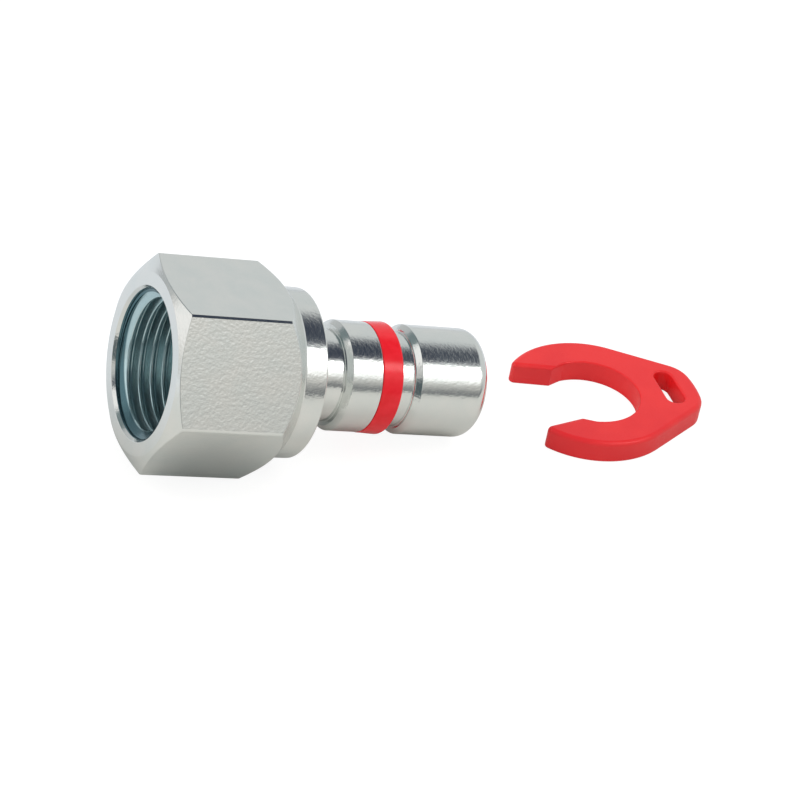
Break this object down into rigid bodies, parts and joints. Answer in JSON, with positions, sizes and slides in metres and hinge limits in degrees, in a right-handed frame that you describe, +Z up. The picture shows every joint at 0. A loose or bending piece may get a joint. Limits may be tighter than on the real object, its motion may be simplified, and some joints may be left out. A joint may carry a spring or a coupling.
{
  "type": "quick coupling",
  "caption": "Plug half of a hydraulic quick coupling: zinc plated steel nipple with female threaded hex end, red dust ring on the stem and red plastic release clip.",
  "frame": {"origin": "middle of the underside of the box round the nipple and the clip, on the surface they lie on", "axes": "+X from the threaded mouth along the row of nipple and clip, +Z up; the nipple lies nose down on its hexagon's rear edge and its nose, 9.93 degrees from level"},
  "size_m": [0.0922, 0.0312, 0.0297],
  "materials": {
    "plated_steel": "zinc plated, bright on the turned surfaces and grainy on the drawn flats",
    "red_rubber": "smooth moulded rubber",
    "red_plastic": "moulded plastic, satin gloss"
  },
  "bodies": {
    "root": {"nipple_body": "plated_steel", "dust_ring": "red_rubber", "release_clip": "red_plastic"}
  },
  "joints": []
}
